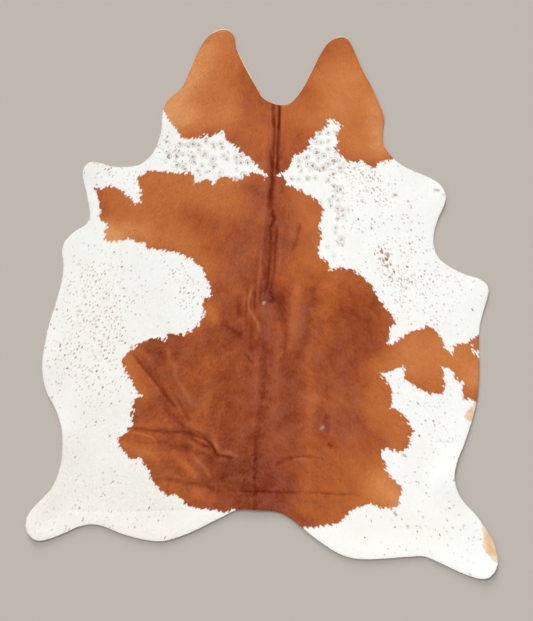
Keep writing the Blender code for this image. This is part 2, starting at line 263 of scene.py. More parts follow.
BROWN = (  # one patch, clockwise; it runs past the cut edge where the brown meets it
    # beyond the neck
    "-480,800 -600,1200 700,1200 600,600",
    # neck, right lower border
    "517,574 473,568 441,542 417,556 397,576 377,568 353,572 333,584 309,604 293,624 309,652 "
    "297,672 309,696 317,714 285,740 265,736 261,712 241,696 209,688 213,672 189,656 181,628 "
    "165,608 133,596 117,572 117,550 93,536 65,516",
    # right side of the back
    "85,508 105,480 113,470 169,448 221,413 249,380 237,348 231,312 241,264 227,234 224,200 "
    "259,170 270,138 313,145 370,134 413,100 449,64 456,34 491,-8 535,-72 513,-94 509,-128 "
    "502,-166",
    # right flank, upper border
    "541,-152 563,-130 591,-108 635,-100 663,-87 699,-108 721,-144 735,-180 763,-201 767,-166 "
    "827,-155 835,-144 863,-126",
    # beyond the right flank
    "920,-120 920,-390",
    # right flank, lower border
    "856,-384 802,-376 799,-336 820,-322 785,-308 763,-272 735,-250 720,-266 731,-322 727,-358 "
    "670,-358 627,-336 581,-308 567,-280 573,-262 563,-248 520,-266 473,-280",
    # right thigh
    "505,-312 520,-340 517,-368 520,-396 513,-415 541,-422 577,-454 585,-476 609,-508 588,-532 "
    "595,-554 577,-580 541,-590 499,-576 473,-590 491,-632 499,-668 513,-690 549,-718 561,-750 "
    "549,-776 549,-796 531,-812 481,-816 435,-800 385,-815 341,-836 320,-872 256,-886 213,-890 "
    "170,-893",
    # beyond the tail
    "100,-960 -80,-880",
    # left thigh
    "-103,-822 -157,-829 -185,-822 -257,-818 -307,-796 -318,-782 -350,-761 -385,-761 -396,-754 "
    "-431,-712 -447,-690 -447,-664 -471,-644 -483,-615 -531,-618 -547,-592 -571,-568 -579,-540 "
    "-539,-512 -515,-482 -521,-447 -515,-418 -515,-382 -471,-368 -496,-354 -521,-304 -545,-268 "
    "-559,-220 -503,-164",
    # left side of the back
    "-431,-136 -387,-144 -377,-119 -311,-122 -283,-108 -255,-88 -231,-40 -231,20 -201,32 -207,72 "
    "-239,144 -271,174 -325,201 -379,216 -455,220",
    # left arm of the patch
    "-467,244 -495,248 -515,256 -531,262 -547,256 -575,248 -595,250 -619,248 -623,264 -629,288 "
    "-619,300 -615,316 -631,328 -647,344 -643,364 -651,384 -649,408 -655,436 -663,462 -635,464 "
    "-607,473 -579,464 -563,456 -547,440 -519,420 -511,404 -523,392 -499,404 -483,408 -485,436 "
    "-481,456 -491,480 -497,496 -491,512 -467,524 -447,534",
    # left shoulder
    "-407,528 -347,523 -287,524 -267,508 -271,480 -251,492 -227,496 -203,488 -191,474 -179,496 "
    "-159,510 -127,504 -99,492 -83,504 -59,516 -39,526 -11,520 9,508 25,512",
    # neck, left lower border
    "5,528 -3,540 -19,556 -39,576 -55,592 -87,612 -99,632 -127,642 -143,660 -147,688 -163,700 "
    "-171,684 -195,676 -235,672 -267,662 -303,658 -323,672 -335,692 -355,716 -367,736 -391,768",
)

# a white line in the brown at the right flank's edge
SLIVER = "835,-148 849,-182 866,-188 866,-216 858,-212 843,-188"

PALE_MARKS = (  # small tan marks at the cut edge
    # right flank
    "853,-388 833,-416 817,-428 809,-444 817,-464 833,-472 880,-460 890,-380",
    # right hind leg
    "873,-862 885,-920 885,-976 913,-1018 937,-1032 990,-1000 990,-860",
    # left buttock
    "-363,-937 -347,-932 -327,-930 -320,-950 -360,-960",
)

BASE_SHADE = 0.47  # the brown before the shades, on the scale of BROWN_RAMP

SHADES = (  # amount lightens the brown; the spread fades it away from the route; partly the hair's own tone, partly painted shade and light of hollows and folds
    # spine
    (-0.10, 26, "50,800 44,560"),
    (-0.10, 40, "44,560 48,330 20,60"),
    (-0.12, 60, "10,0 14,-300 -26,-560 -30,-820"),
    # left neck lobe
    (0.38, 130, "-290,900 -360,780"),
    (0.17, 60, "-370,800 -300,900 -240,1000"),
    (0.34, 80, "-190,1060 -160,1080"),
    (0.12, 65, "-110,1000 -150,900 -120,830"),
    (0.23, 60, "-340,735 -150,745"),
    # right neck lobe
    (0.27, 120, "380,880 430,680"),
    (0.22, 55, "460,800 480,640"),
    (0.18, 60, "230,900 300,800"),
    (0.08, 50, "330,605 480,590"),
    (0.12, 55, "230,750 310,700 330,650"),
    (0.16, 110, "330,1030 330,960"),
    # base of the neck
    (0.13, 110, "-80,760 -20,640"),
    (0.16, 90, "120,780 190,720"),
    # left shoulder and arm
    (0.24, 130, "-540,440 -150,430"),
    (0.22, 80, "-500,280 -330,240 -230,160"),
    (0.08, 40, "-430,515 -240,505 -80,500"),
    (0.02, 60, "-600,390 -480,340"),
    (0.09, 38, "-590,262 -470,258"),
    (0.45, 55, "-625,290 -600,262"),
    # right shoulder
    (0.20, 90, "150,440 210,330 225,190"),
    # left back, loin and flank
    (0.23, 60, "-540,-210 -500,-330"),
    (0.05, 60, "-270,-270 -260,-500"),
    (-0.07, 48, "-180,-140 -80,-150"),
    (-0.06, 42, "-165,-300 -165,-540"),
    (0.15, 38, "-245,-45 -255,-90"),
    (-0.05, 110, "-400,-300 -330,-480"),
    (0.08, 60, "-600,-520 -470,-590"),
    # right ribs, flank and thigh
    (-0.10, 75, "370,-50 430,-130"),
    (0.09, 50, "300,105 390,75"),
    (-0.08, 60, "300,-200 370,-270"),
    (0.35, 150, "610,-210 860,-240"),
    (0.05, 40, "620,-130 720,-145"),
    (0.12, 45, "850,-310 880,-330"),
    (0.14, 60, "440,-270 450,-430"),
    (0.18, 90, "560,-440 560,-560"),
    # right loin and buttock
    (-0.08, 70, "150,-330 170,-440"),
    (0.15, 150, "360,-680 300,-850"),
    (-0.09, 50, "335,-760 300,-780"),
    (0.13, 55, "150,-760 160,-860"),
    (0.36, 75, "490,-720 550,-780"),
    (0.08, 45, "390,-790 540,-790"),
    # beside the spine
    (-0.06, 38, "70,20 72,-650"),
    (-0.07, 42, "74,505 72,250"),
    (0.08, 36, "75,100 150,175"),
    # ribs and rump
    (-0.07, 62, "450,-60 400,-160 400,-300"),
    (0.06, 32, "312,20 312,-70"),
    (-0.06, 45, "310,-540 400,-550"),
    (-0.07, 36, "-325,-600 -325,-645"),
    (0.07, 36, "-250,-700 -250,-790"),
    # middle of the rump and left thigh
    (-0.23, 130, "-130,-690 60,-800"),
    (0.08, 110, "-460,-540 -330,-700"),
    # darker spots of the neck and the shoulders
    (-0.06, 15, "-70,850 -60,760"),
    (-0.12, 27, "-60,470 0,440"),
    # withers and the loop there: painted shade in the hollow and painted shadows beside it
    (-0.13, 14, "17,300 17,216 15,136 13,56"),
    (-0.16, 20, "5,50 15,6"),
    (-0.40, 8, "39,38 40,22"),
    (-0.16, 13, "30,84 36,50 36,12"),
    (-0.14, 20, "80,36 84,-10 84,-60"),
    (-0.18, 14, "-95,24 -90,-34"),
    # back
    (-0.22, 16, "-150,-90 -110,-104 -85,-128"),
    (-0.06, 15, "9,-40 7,-104 5,-170 7,-224 3,-304 -1,-384 -5,-440 -5,-510"),
    (0.05, 16, "61,-180 59,-440"),
    # bands of the ribs: painted light on the folds' crests and painted shade between them
    (0.09, 17, "143,80 137,0 129,-60 127,-130 115,-170"),
    (-0.14, 15, "205,60 201,16 187,-50 183,-100 169,-164 145,-210"),
    (-0.08, 16, "225,20 217,-50"),
    (0.07, 19, "283,80 277,20 265,-60 255,-100"),
    # bands of the loin: painted light and shade along the long soft folds
    (-0.06, 24, "117,-190 121,-300 121,-520 119,-640 117,-760"),
    (0.07, 24, "193,-190 193,-300 187,-520 189,-700"),
    (-0.06, 22, "-131,-230 -131,-360 -135,-560"),
    (0.06, 29, "-215,-220 -219,-360 -227,-480"),
    (0.11, 22, "201,-384 201,-424"),
    # rump and tail
    (-0.06, 16, "343,-430 385,-476 440,-530 490,-560"),
    (-0.17, 12, "264,-452 258,-480 262,-508"),
    (-0.13, 21, "150,-860 193,-876"),
    # left flank: painted shade along and beside the groove
    (-0.12, 19, "-395,-360 -375,-430 -339,-470 -299,-510"),
    (-0.14, 26, "-447,-176 -405,-204"),
    (-0.06, 27, "-331,-200 -300,-230"),
    # the long fold and the left buttock: painted shade in the hollow below the fold, painted light
    # on the buttock's folds
    (-0.18, 17, "-415,-552 -370,-560 -300,-574"),
    (0.09, 19, "-560,-566 -500,-584 -430,-604"),
    (0.12, 15, "-351,-596 -303,-644 -267,-690"),
    (0.12, 24, "-265,-752 -205,-780"),
    # left shoulder, arm and back
    (-0.09, 37, "-290,362 -240,352 -180,340"),
    (-0.07, 31, "-110,310 -90,280"),
    (-0.11, 19, "-645,384 -620,366"),
    (0.11, 25, "-540,312 -480,300"),
    (0.22, 25, "-207,-10 -190,-60"),
    (-0.07, 19, "-440,-140 -330,-136"),
)

PAINTED_SHEEN_ROWS = (  # amount turns the brown to the colour of painted sheen, of hair that reflects more
    (0.14, 100, "-140,760 -60,600"),  # left of the neck
    (0.12, 70, "-40,500 -60,260 -110,150"),  # left of the spine
    (0.12, 60, "120,480 150,200"),  # right shoulder
    (0.22, 26, "10,20 30,-60 20,-130"),  # withers, below the hollow
    (-0.16, 26, "84,36 86,-60"),  # withers, right shadow
    (-0.09, 50, "-165,-150 -165,-460"),  # left loin
    (0.20, 34, "145,30 143,-90"),  # ribs, inner side
    (0.06, 70, "-130,-680 80,-790"),  # middle of the rump
    (0.10, 50, "50,-300 60,-620"),  # spine of the loin
    (0.06, 50, "-540,-430 -540,-560"),  # left flank's border
    (0.10, 90, "300,-380 420,-600"),  # right thigh
    (-0.12, 90, "220,40 420,-40"),  # right ribs
)

SCARS = (  # amount is the share of pale hair
    (0.9, 3.6, "7,4 11,8"),  # withers
    (0.50, 4, "236,-498 246,-489"),  # rump
)

SPOTS = (  # amount is the share of brown hair, in the white
    (1.0, 4, "529,437 538,435"),  # right shoulder
    (0.7, 4, "692,456 706,455"),  # right shoulder, tip
    (0.5, 3.5, "722,438 726,436"),  # right shoulder, edge
    (0.7, 4, "563,-600 575,-608"),  # right thigh
    (0.9, 4, "531,-834 538,-844"),  # right hind leg
    (0.6, 4, "582,-886 586,-892"),  # right hind leg, lower
)

SPECKLED = (  # amount is the share of specks that show
    (0.73, 175, "-660,40 -760,-200"),  # left belly
    (0.40, 70, "-600,-60 -600,-300"),  # beside the left flank
    (0.13, 200, "-740,400 -640,200"),  # left foreleg
    (0.70, 65, "-640,545 -500,510"),  # left foreleg, upper side
    (0.85, 50, "-385,655 -335,600 -300,570"),  # left shoulder
    (0.62, 70, "-330,150 -290,0"),  # end of the left bay
    (0.16, 200, "-620,-420 -700,-700"),  # left thigh
    (0.22, 170, "-800,-840 -500,-880"),  # left hind leg
    (0.55, 190, "470,400 600,60"),  # right shoulder
    (0.14, 160, "760,60 720,-60"),  # right foreleg
    (0.42, 130, "640,-420 700,-520"),  # right thigh
    (0.26, 200, "560,-880 820,-920"),  # right hind leg
    (1.1, 48, "320,545 400,520 430,480"),  # under the right neck lobe
    (3.0, 22, "480,212 496,186 504,140"),  # right shoulder cluster
    (1.8, 22, "520,108 545,86 600,92"),  # right shoulder cluster, lower part
)

RINGED = (  # amount is the share of ring spots that show
    (0.9, 80, "-330,590 -170,610 -80,560"),  # left shoulder
    (0.88, 74, "180,560 260,640"),  # right shoulder
    (0.62, 45, "265,570 290,440 300,330 325,255"),  # right shoulder, lower part
)

CREAM = (  # amount warms the white
    (0.9, 260, "-560,-860 -860,-840"),  # left hind leg
    (0.35, 300, "-700,-100 -700,-500"),  # left belly
    (0.5, 200, "-300,-880 -100,-860"),  # tail side
    (0.35, 220, "300,-960 600,-900"),  # right hind leg
)


# ---- plane geometry

def points_of(route):
    return np.array([point.split(",") for point in route.split()], dtype=float)


def spline(pts, closed, substeps=12):
    """Dense points on a smooth curve through the control points (Catmull-Rom)."""
    if closed:
        pts = np.vstack((pts[-1:], pts, pts[:2]))
    else:
        pts = np.vstack((2 * pts[0] - pts[1], pts, 2 * pts[-1] - pts[-2]))
    t = np.linspace(0.0, 1.0, substeps, endpoint=False)[:, None]
    runs = []
    for before, start, end, after in zip(pts, pts[1:], pts[2:], pts[3:]):
        runs.append(0.5 * (2 * start + (end - before) * t
                           + (2 * before - 5 * start + 4 * end - after) * t ** 2
                           + (3 * start - before - 3 * end + after) * t ** 3))
    if not closed:
        runs.append(pts[-2:-1])
    return np.vstack(runs)


def closed_path(ring):
    return np.vstack((ring, ring[:1]))


def resample_ring(ring, step):
    path = closed_path(ring)
    along = np.concatenate(([0.0], np.cumsum(np.linalg.norm(np.diff(path, axis=0), axis=1))))
    stations = np.linspace(0.0, along[-1], round(along[-1] / step), endpoint=False)
    return np.column_stack([np.interp(stations, along, path[:, i]) for i in (0, 1)])


def distance_to_path(points, path):
    """Distance from each point to a path of straight pieces, and how far along it, 0 to 1."""
    start, step = path[:-1], np.diff(path, axis=0)
    length = np.maximum(np.linalg.norm(step, axis=1), 1e-9)
    before = np.concatenate(([0.0], np.cumsum(length)))
    best = np.full(len(points), np.inf)
    share = np.zeros(len(points))
    for a, d, size, passed in zip(start, step, length, before):
        t = np.clip((points - a) @ d / size ** 2, 0.0, 1.0)
        away = np.hypot(*(points - a - t[:, None] * d).T)
        nearer = away < best
        best[nearer] = away[nearer]
        share[nearer] = ((passed + t * size) / before[-1])[nearer]
    return best, share


def inside(points, ring):
    """Which points lie inside a closed ring (even-odd rule)."""
    x, y = points[:, 0], points[:, 1]
    result = np.zeros(len(points), dtype=bool)
    for (x0, y0), (x1, y1) in zip(ring, np.roll(ring, -1, axis=0)):
        crosses = (y0 > y) != (y1 > y)
        if crosses.any():
            result ^= crosses & (x < x0 + (y - y0) * (x1 - x0) / (y1 - y0))
    return result


def depth_inside(points, ring):
    """Signed distance to a ring, above 0 inside it."""
    away, _ = distance_to_path(points, closed_path(ring))
    return np.where(inside(points, ring), away, -away)


def inset_ring(ring, amount):
    """A clockwise ring moved inwards, square to itself."""
    tangent = np.roll(ring, -1, axis=0) - np.roll(ring, 1, axis=0)
    tangent /= np.linalg.norm(tangent, axis=1)[:, None]
    return ring + np.column_stack((tangent[:, 1], -tangent[:, 0])) * amount


def smooth_step(value):
    value = np.clip(value, 0.0, 1.0)
    return value * value * (3.0 - 2.0 * value)


def bump(distance, reach):
    """A rounded bump, 1 at distance 0 and exactly 0 from the reach outwards."""
    return np.where(distance < reach, 0.5 + 0.5 * np.cos(np.pi * distance / reach), 0.0)


# ---- the cut edge, read from the frame

def cut_edge(node):
    """The widest line round the solid's rim, as a clockwise ring of points."""
    mesh = node.data
    places = {}
    merged = [places.setdefault(tuple(round(c, 6) for c in v.co), len(places))
              for v in mesh.vertices]
    coords = np.array(list(places))[:, :2]
    faces_up, faces_down = set(), set()
    for face in mesh.polygons:
        corners = [merged[i] for i in face.vertices]
        side = faces_up if face.normal.z > 0 else faces_down
        side.update(map(frozenset, zip(corners, corners[1:] + corners[:1])))
    following = {}
    for a, b in faces_up & faces_down:
        following.setdefault(a, []).append(b)
        following.setdefault(b, []).append(a)
    start = max(following, key=lambda i: coords[i][0])
    ring, last, here = [start], None, start
    while True:
        step = [i for i in following[here] if i != last]
        last, here = here, step[0]
        if here == start:
            break
        ring.append(here)
    ring = coords[ring]
    x, y = ring.T
    turning = (x * np.roll(y, -1) - y * np.roll(x, -1)).sum()
    return ring if turning < 0 else ring[::-1]


# ---- maps over the hide's box

class Grid:
    """Points of a plain grid over the hide. Values kept for them are blended in between."""

    def __init__(self, low, high, step):
        self.step = step
        self.low = low - MAP_MARGIN
        self.counts = np.ceil((high - low + 2 * MAP_MARGIN) / step).astype(int) + 1
        xs, ys = (self.low[i] + step * np.arange(self.counts[i]) for i in (0, 1))
        self.points = np.column_stack([axis.ravel() for axis in np.meshgrid(xs, ys)])

    def read(self, values, points):
        table = values.reshape(self.counts[1], self.counts[0])
        at = np.clip((points - self.low) / self.step, 0, self.counts - 1.001)
        i, j = at.astype(int).T
        s, t = (at - np.floor(at)).T
        return ((1 - t) * ((1 - s) * table[j, i] + s * table[j, i + 1])
                + t * ((1 - s) * table[j + 1, i] + s * table[j + 1, i + 1]))


def relief(points, rows, end=FOLD_END):
    """Summed amount of the rows of folds, creases or wrinkles at each point."""
    total = np.zeros(len(points))
    for amount, half_width, route in rows:
        path = spline(points_of(route), closed=False) * MM
        reach = half_width * MM
        near = np.all((points > path.min(axis=0) - reach) & (points < path.max(axis=0) + reach),
                      axis=1)
        away, share = distance_to_path(points[near], path)
        fade = smooth_step(share / end) * smooth_step((1 - share) / end)
        total[near] += amount * bump(away, reach) * fade
    return total


def round_lifts(points, rows):
    """The highest of the rows' round rises at each point."""
    height = np.zeros(len(points))
    for rise, radius, centre in rows:
        away = np.hypot(*(points - points_of(centre) * MM).T)
        height = np.maximum(height, rise * MM * bump(away, radius * MM))
    return height


def spread(points, rows):
    """Sum of soft shades, each fading away from its route."""
    total = np.zeros(len(points))
    for amount, half_width, route in rows:
        away, _ = distance_to_path(points, points_of(route) * MM)
        total += amount * np.exp(-(away / (half_width * MM)) ** 2)
    return total


def patch_depth(points, *stretches):
    """How deep inside a patch each point lies, below 0 outside it."""
    return depth_inside(points, points_of(" ".join(stretches)) * MM)


# ---- the hair's flow

def hair_angle(points):
    """Which way the hair lies: radians from -Y, growing outwards from the spine."""
    across = points[:, 0] - SPINE_X
    outward = 1 - np.exp(-np.abs(across) / SPLAY_REACH)
    hind = smooth_step((HIND_Y - points[:, 1]) / CALMING)
    neck = smooth_step((points[:, 1] - NECK_Y) / CALMING)
    return np.sign(across) * outward * (SPLAY * (1 - HIND_CALM * hind - NECK_CALM * neck))


def across_and_along(places):
    """Coordinates across and along the hair of both sides, and a number for the side."""
    out, up = np.abs(places[:, 0] - SPINE_X), places[:, 1]
    turn, slope = math.cos(FLOW_ANGLE), math.sin(FLOW_ANGLE)
    return np.column_stack((out * turn + up * slope, out * slope - up * turn,
                            np.sign(places[:, 0] - SPINE_X)))


# ---- meshes

def even_grid(low, high, step):
    """Points of an even grid of triangles."""
    xs = np.arange(low[0], high[0], step)
    ys = np.arange(low[1], high[1], step * math.sqrt(3) / 2)
    columns, rows = np.meshgrid(np.arange(len(xs)), np.arange(len(ys)))
    return np.column_stack(((xs[columns] + (rows % 2) * step / 2).ravel(), ys[rows].ravel()))


def triangulate(ring, inner_points):
    """Triangles that fill a ring through the points inside it. The ring's points come first."""
    count = len(ring)
    edges = [(i, (i + 1) % count) for i in range(count)]
    points = [Vector(p) for p in np.vstack((ring, inner_points))]
    verts, _, faces, _, _, _ = delaunay_2d_cdt(points, edges, [], 1, 1e-7)
    return np.array([v[:] for v in verts]), np.array([face[:] for face in faces])


def link(obj):
    bpy.context.scene.collection.objects.link(obj)
    return obj


def new_piece(name, verts, polygons, material):
    """A smooth object from an array of points and arrays of faces with as many corners each."""
    mesh = bpy.data.meshes.new(name)
    mesh.vertices.add(len(verts))
    mesh.vertices.foreach_set("co", np.asarray(verts, dtype=np.float32).ravel())
    corners = np.concatenate([faces.ravel() for faces in polygons]).astype(np.int32)
    sizes = np.concatenate([np.full(len(faces), faces.shape[1]) for faces in polygons])
    mesh.loops.add(len(corners))
    mesh.loops.foreach_set("vertex_index", corners)
    mesh.polygons.add(len(sizes))
    mesh.polygons.foreach_set("loop_start", (np.cumsum(sizes) - sizes).astype(np.int32))
    mesh.update(calc_edges=True)
    mesh.validate()
    mesh.shade_smooth()
    mesh.materials.append(material)
    return link(bpy.data.objects.new(name, mesh))


def set_attributes(obj, values):
    """Numbers or vectors for every vertex, by name."""
    for name, value in values.items():
        kind, key = ("FLOAT", "value") if value.ndim == 1 else ("FLOAT_VECTOR", "vector")
        layer = obj.data.attributes.new(name, kind, "POINT")
        layer.data.foreach_set(key, value.astype(np.float32).ravel())


def set_flat_map(obj, low, high):
    """A texture map seen straight from above, over the hide's whole box."""
    mesh = obj.data
    layer = mesh.uv_layers.new(name="OFBake")
    coords = np.empty(len(mesh.vertices) * 3, dtype=np.float32)
    mesh.vertices.foreach_get("co", coords)
    corner = np.empty(len(mesh.loops), dtype=np.int32)
    mesh.loops.foreach_get("vertex_index", corner)
    flat = (coords.reshape(-1, 3)[corner, :2] - low) / (high - low)
    layer.data.foreach_set("uv", np.clip(flat, 0.001, 0.999).astype(np.float32).ravel())


# ---- shader nodes

def srgb(*values):
    """A colour from its 0 to 255 display values."""
    channels = [v / 255 for v in values]
    return tuple(c / 12.92 if c <= 0.04045 else ((c + 0.055) / 1.055) ** 2.4
                 for c in channels) + (1.0,)


class Value:
    """A node's output. Arithmetic with it adds the nodes that work out the result."""

    def __init__(self, shader, socket):
        self.shader, self.socket = shader, socket

    def math(self, operation, *others):
        inputs = enumerate((self, *others))
        return self.shader.value(0, "ShaderNodeMath", inputs, operation=operation)

    __add__ = __radd__ = partialmethod(math, "ADD")
    __mul__ = __rmul__ = partialmethod(math, "MULTIPLY")
    __sub__ = partialmethod(math, "SUBTRACT")
    __truediv__ = partialmethod(math, "DIVIDE")
    __lt__ = partialmethod(math, "LESS_THAN")
    __abs__ = partialmethod(math, "ABSOLUTE")
    or_more = partialmethod(math, "MAXIMUM")

    def clamped(self):
        """The same value, kept between 0 and 1."""
        self.socket.node.use_clamp = True
        return self


class Shader:
    """A short way to build a material: most calls add a node and return its output."""

    def __init__(self, name):
        self.material = bpy.data.materials.new(name)
        self.material.use_nodes = True
        self.tree = self.material.node_tree

    def feed(self, socket, value):
        if isinstance(value, Value):
            self.tree.links.new(value.socket, socket)
        else:
            socket.default_value = value

    def node(self, kind, inputs=(), **settings):
        node = self.tree.nodes.new(kind)
        for key, value in settings.items():
            setattr(node, key, value)
        for key, value in dict(inputs).items():
            self.feed(node.inputs[key], value)
        return node

    def value(self, output, kind, inputs=(), **settings):
        return Value(self, self.node(kind, inputs, **settings).outputs[output])

    def attribute(self, name, output="Fac"):
        return self.value(output, "ShaderNodeAttribute", attribute_name=name)

    def vector(self, operation, first, second):
        return self.value(0, "ShaderNodeVectorMath", {0: first, 1: second}, operation=operation)

    def scaled(self, vector, factors):
        return self.vector("MULTIPLY", vector, factors)

    def noise(self, vector, scale=1.0, detail=2.0, roughness=0.5):
        """Soft noise around 0, about -0.25 to 0.25."""
        return self.value("Fac", "ShaderNodeTexNoise", {
            "Vector": vector, "Scale": scale, "Detail": detail, "Roughness": roughness}) - 0.5

    def shaken(self, vector, scale, amount):
        """The vector with its points moved about by noise."""
        noise = self.value("Color", "ShaderNodeTexNoise", {
            "Vector": vector, "Scale": scale, "Detail": 1.0})
        shift = self.vector("SUBTRACT", noise, (0.5, 0.5, 0.5))
        return self.vector("ADD", vector, self.scaled(shift, (amount, amount, 0)))

    def cells(self, vector):
        """Distance from the middle of a random cell, and three random numbers of that cell."""
        node = self.node("ShaderNodeTexVoronoi", {"Vector": vector, "Scale": 1.0},
                         voronoi_dimensions="2D")
        own = self.node("ShaderNodeSeparateColor", {"Color": Value(self, node.outputs["Color"])})
        return [Value(self, socket) for socket in (node.outputs["Distance"], *own.outputs)]

    def step(self, value, low, high):
        """0 below low, 1 above high and smooth between them."""
        return self.value("Result", "ShaderNodeMapRange", {
            "Value": value, "From Min": low, "From Max": high}, interpolation_type="SMOOTHSTEP")

    def fall(self, value, low, high):
        """1 below low, 0 above high and smooth between them."""
        rising = self.step(value, low, high)
        return self.value(0, "ShaderNodeMath", {0: 1.0, 1: rising}, operation="SUBTRACT")

    def mix(self, share, first, second):
        node = self.node("ShaderNodeMix", data_type="RGBA")
        sockets = {socket.identifier: socket for socket in node.inputs}
        self.feed(sockets["Factor_Float"], share)
        self.feed(sockets["A_Color"], first)
        self.feed(sockets["B_Color"], second)
        return Value(self, next(s for s in node.outputs if s.identifier == "Result_Color"))

    def ramp(self, value, stops):
        node = self.node("ShaderNodeValToRGB", {"Fac": value})
        elements = node.color_ramp.elements
        while len(elements) < len(stops):
            elements.new(0.5)
        for element, (place, colour) in zip(elements, stops):
            element.position = place
            element.color = colour
        return Value(self, node.outputs["Color"])

    def bump(self, height, distance):
        return self.value("Normal", "ShaderNodeBump", {"Height": height, "Distance": distance})

    def finish(self, **sockets):
        surface = self.tree.nodes["Principled BSDF"]
        for name, value in sockets.items():
            self.feed(surface.inputs[name.replace("_", " ")], value)
        return self.material


# ---- materials

BROWN_RAMP = (  # from the painted shade of the darkest creases to the palest hair at the patch's ends
    (0.00, srgb(96, 22, 0)),
    (0.14, srgb(116, 42, 5)),
    (0.28, srgb(133, 57, 23)),
    (0.44, srgb(157, 75, 34)),
    (0.60, srgb(184, 97, 44)),
    (0.78, srgb(203, 121, 62)),
    (0.90, srgb(213, 136, 77)),
    (1.00, srgb(225, 155, 97)),
)
SHEEN_BROWN = srgb(164, 93, 70)  # painted sheen: the same hair where it reflects more
SCAR_HAIR = srgb(218, 206, 192)
WHITE_HAIR = srgb(249, 249, 246)
CREAM_HAIR = srgb(245, 241, 232)
FRINGE_HAIR = srgb(214, 203, 194)  # white hair thinly over dark skin, along the brown
SPECK_HAIR = srgb(158, 114, 78)
SPOT_HAIR = srgb(150, 98, 64)
RING_HAIR = srgb(188, 182, 172)
TAN_HAIR = srgb(228, 184, 130)
SUEDE_RAMP = (
    (0.15, srgb(176, 163, 146)),
    (0.50, srgb(205, 194, 178)),
    (0.85, srgb(222, 213, 200)),
)
FLOOR_PAPER = srgb(184, 177, 169)

# waves or cells to a metre: across the hair, along it, and 1 for the side's own number
STREAKS = (240, 50, 1)
BROAD_STREAKS = (26, 13, 1)
TEETH = (115, 42, 1)
LARGE_SPECKS = (50, 30, 1)
SMALL_SPECKS = (98, 46, 1)
ROSETTES = (35, 35, 1)

STREAK_RELIEF = 0.0009  # height of the streaks in the coat
NAP_RELIEF = 0.0006  # height of the suede's nap


def brown_hair(s, place, flow, strands, own):
    clouds = s.noise(place, 7.0, 3.0) * 0.34 + s.noise(s.scaled(flow, BROAD_STREAKS)) * 0.30
    mottle = s.noise(place, 44, 4.0, 0.65) * 0.24
    # the tone carries the painted shade and light of the relief
    shade = s.attribute("tone")
    calm = 1.0 + s.step(shade, 0.45, 0.72) * -0.62
    colour = s.ramp(shade + (clouds + mottle) * calm + strands * 0.32 + own * 0.12, BROWN_RAMP)
    # painted sheen: the brown turns towards hair that reflects more, most on the ridges
    sheen_amount = s.noise(place, 17, 4.0, 0.65) + s.attribute("painted_sheen") + strands * 0.7
    colour = s.mix(s.step(sheen_amount, -0.12, 0.28) * calm * 0.56, colour, SHEEN_BROWN)
    return s.mix(s.attribute("scar"), colour, SCAR_HAIR)


def specks(s, flow, spacing, smallest, largest, share):
    """Short dashes of dark hair along the flow; shown in a share of the cells."""
    away, chance, size, strength = s.cells(s.scaled(flow, spacing))
    dense = s.attribute("speck")
    reach = (smallest + size * (largest - smallest)) * (0.85 + dense * 0.25)
    dot = s.fall(away / reach, 0.45, 1.0)
    return dot * (chance < share) * (0.25 + strength * strength * 0.75 + dense * 0.10)


def rosettes(s, place, colour, share):
    """Small brown spots, each in a thin broken ring of grey, over the colour."""
    away, chance, size, strength = s.cells(s.scaled(s.shaken(place, 110, 0.012), ROSETTES))
    away = away * (0.8 + size * 0.5)
    broken = 0.8 + s.noise(place, 300, 1.0) * 2.4
    clumped = share * (1.0 + s.noise(place, 11, 1.0) * 3.0)
    faint = (0.50 + share * 0.9).clamped()
    shown = (chance < clumped) * faint * (0.45 + strength * 0.6)
    ring = s.fall(abs(away - 0.40), 0.02, 0.12)
    haze = s.fall(away, 0.15, 0.42)
    core = s.fall(away, 0.09, 0.29)
    grey = ring * 0.75 + haze * 0.14
    colour = s.mix((grey * shown * broken).clamped(), colour, RING_HAIR)
    return s.mix((core * shown * broken).clamped(), colour, SPOT_HAIR)


def white_hair(s, place, flow, strands, own):
    cream = (s.attribute("cream") + s.noise(place, 6, 2.0)).clamped()
    shade = 0.99 + strands * 0.06 + own * 0.02 + s.noise(place, 30, 3.0) * 0.02
    colour = s.vector("MULTIPLY", s.mix(cream, WHITE_HAIR, CREAM_HAIR), shade)
    flow = s.shaken(flow, 90, 0.010)
    elsewhere = s.vector("ADD", flow, (3.1, 1.7, 0))
    share = s.attribute("speck") * (1.0 + s.noise(place, 15, 2.0) * 2.4)
    large = specks(s, flow, LARGE_SPECKS, 0.13, 0.24, share * 0.60)
    small = specks(s, elsewhere, SMALL_SPECKS, 0.17, 0.33, share * (0.35 + share))
    colour = s.mix(large.or_more(small * 0.75), colour, SPECK_HAIR)
    colour = s.mix(s.attribute("spot"), colour, SPOT_HAIR)
    return rosettes(s, place, colour, s.attribute("ring"))


def pigment(s, place, flow, own):
    """Colour of the hair at a place of the hide, and the fine streaks along it."""
    strands = s.noise(s.scaled(flow, STREAKS), 1.0, 3.0, 0.65)
    ragged = s.noise(place, 55, 5.0, 0.65) * 0.024 + s.noise(s.scaled(flow, TEETH)) * 0.046
    depth = s.attribute("brown") + ragged
    fringe = s.step(depth, -0.007, -0.001) * 0.40
    colour = s.mix(fringe, white_hair(s, place, flow, strands, own), FRINGE_HAIR)
    tan = s.step(s.attribute("tan") + ragged * 0.6, -0.003, 0.004)
    thin = (0.72 + s.noise(place, 20, 3.0) * 1.6).clamped()
    colour = s.mix(tan * thin, colour, TAN_HAIR)
    brown = s.step(depth, -0.0008, 0.0008)
    return s.mix(brown, colour, brown_hair(s, place, flow, strands, own)), strands


